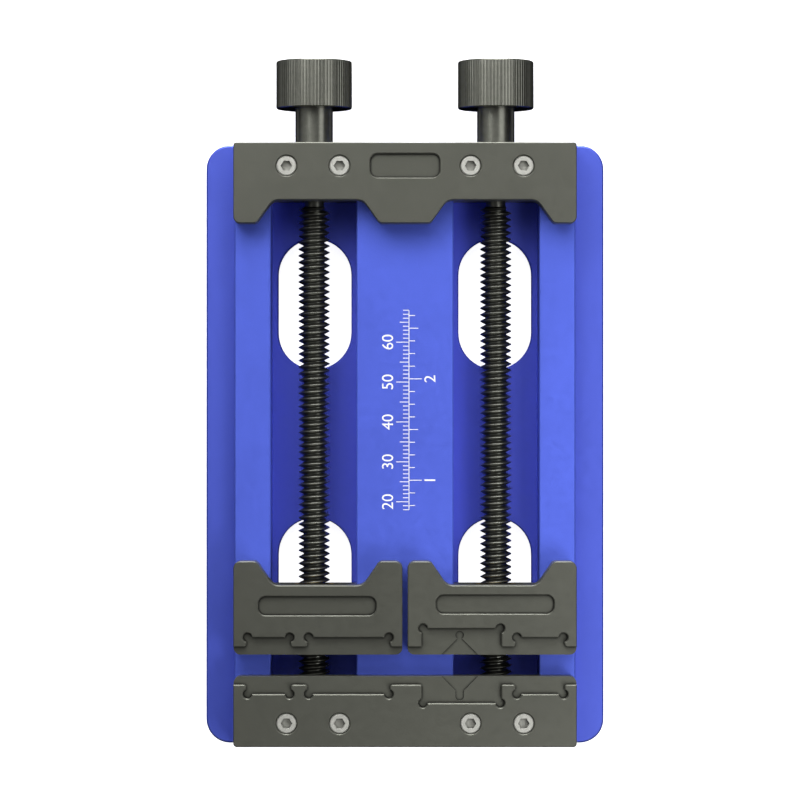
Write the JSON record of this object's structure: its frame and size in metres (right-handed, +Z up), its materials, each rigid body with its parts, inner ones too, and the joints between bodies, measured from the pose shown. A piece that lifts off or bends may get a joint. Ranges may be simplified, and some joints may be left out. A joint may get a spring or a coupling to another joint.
{
  "type": "pcb holder vise",
  "caption": "Bench vise for circuit boards: knurled knobs turn lead screws that draw stepped jaws along a slotted bed towards a fixed jaw.",
  "frame": {"origin": "under the middle of the whole object, on the surface that the rubber feet stand on", "axes": "+Y along the bed towards the knobs, +X to the right seen from above with the knobs away from the viewer, +Z up"},
  "size_m": [0.1, 0.1716, 0.024],
  "materials": {
    "bed_blue": "satin blue anodised over a fine blast",
    "bar_grey": "satin dark grey anodised over a fine blast",
    "knob_grey": "turned and straight knurled, dark grey anodised",
    "lead_screw_black": "black oxide, lightly oiled",
    "screw_bright": "bright stainless, faint turning marks",
    "set_screw_black": "black oxide",
    "sleeve_steel": "turned",
    "bearing_steel": "ground and polished",
    "cage_brass": "pressed",
    "nut_brass": "turned",
    "bush_bronze": "sintered and oiled",
    "feet_rubber": "matte black"
  },
  "bodies": {
    "base": {"bed_plate": "bed_blue", "rubber_feet": "feet_rubber", "end_bridge": "bar_grey", "fixed_jaw": "bar_grey", "bridge_screws": "screw_bright", "fixed_jaw_screws": "screw_bright", "left_bearing_outer_ring": "bearing_steel", "left_end_bush": "bush_bronze", "right_bearing_outer_ring": "bearing_steel", "right_end_bush": "bush_bronze"},
    "left_spindle": {"left_lead_screw": "lead_screw_black", "left_knob": "knob_grey", "left_knob_set_screw": "set_screw_black", "left_spacer_sleeve": "sleeve_steel", "left_bearing_inner_ring": "bearing_steel"},
    "left_ball_set": {"left_bearing_balls": "bearing_steel", "left_bearing_cage": "cage_brass"},
    "left_carriage": {"left_jaw": "bar_grey", "left_lead_nut": "nut_brass"},
    "right_spindle": {"right_lead_screw": "lead_screw_black", "right_knob": "knob_grey", "right_knob_set_screw": "set_screw_black", "right_spacer_sleeve": "sleeve_steel", "right_bearing_inner_ring": "bearing_steel"},
    "right_ball_set": {"right_bearing_balls": "bearing_steel", "right_bearing_cage": "cage_brass"},
    "right_carriage": {"right_jaw": "bar_grey", "right_lead_nut": "nut_brass"}
  },
  "joints": [
    {"name": "left_jaw_slide", "type": "slide", "parent": "base", "child": "left_carriage", "axis": [0, 1, 0], "range_m": [-0.00528, 0.08382]},
    {"name": "left_screw_turn", "type": "hinge", "parent": "base", "child": "left_spindle", "pos_m": [-0.0229, 0, 0.0115], "axis": [0, -1, 0], "range_deg": [-1153, 18289]},
    {"name": "left_bearing_turn", "type": "hinge", "parent": "base", "child": "left_ball_set", "pos_m": [-0.0229, 0, 0.0115], "axis": [0, -1, 0], "range_deg": [-488, 7738]},
    {"name": "right_jaw_slide", "type": "slide", "parent": "base", "child": "right_carriage", "axis": [0, 1, 0], "range_m": [-0.00528, 0.08382]},
    {"name": "right_screw_turn", "type": "hinge", "parent": "base", "child": "right_spindle", "pos_m": [0.0229, 0, 0.0115], "axis": [0, -1, 0], "range_deg": [-1153, 18289]},
    {"name": "right_bearing_turn", "type": "hinge", "parent": "base", "child": "right_ball_set", "pos_m": [0.0229, 0, 0.0115], "axis": [0, -1, 0], "range_deg": [-488, 7738]}
  ],
  "couplings": [
    {"joint": "left_screw_turn", "follows": "left_jaw_slide", "rad_per_m": 3808},
    {"joint": "left_bearing_turn", "follows": "left_jaw_slide", "rad_per_m": 1611.1},
    {"joint": "right_screw_turn", "follows": "right_jaw_slide", "rad_per_m": 3808},
    {"joint": "right_bearing_turn", "follows": "right_jaw_slide", "rad_per_m": 1611.1}
  ]
}
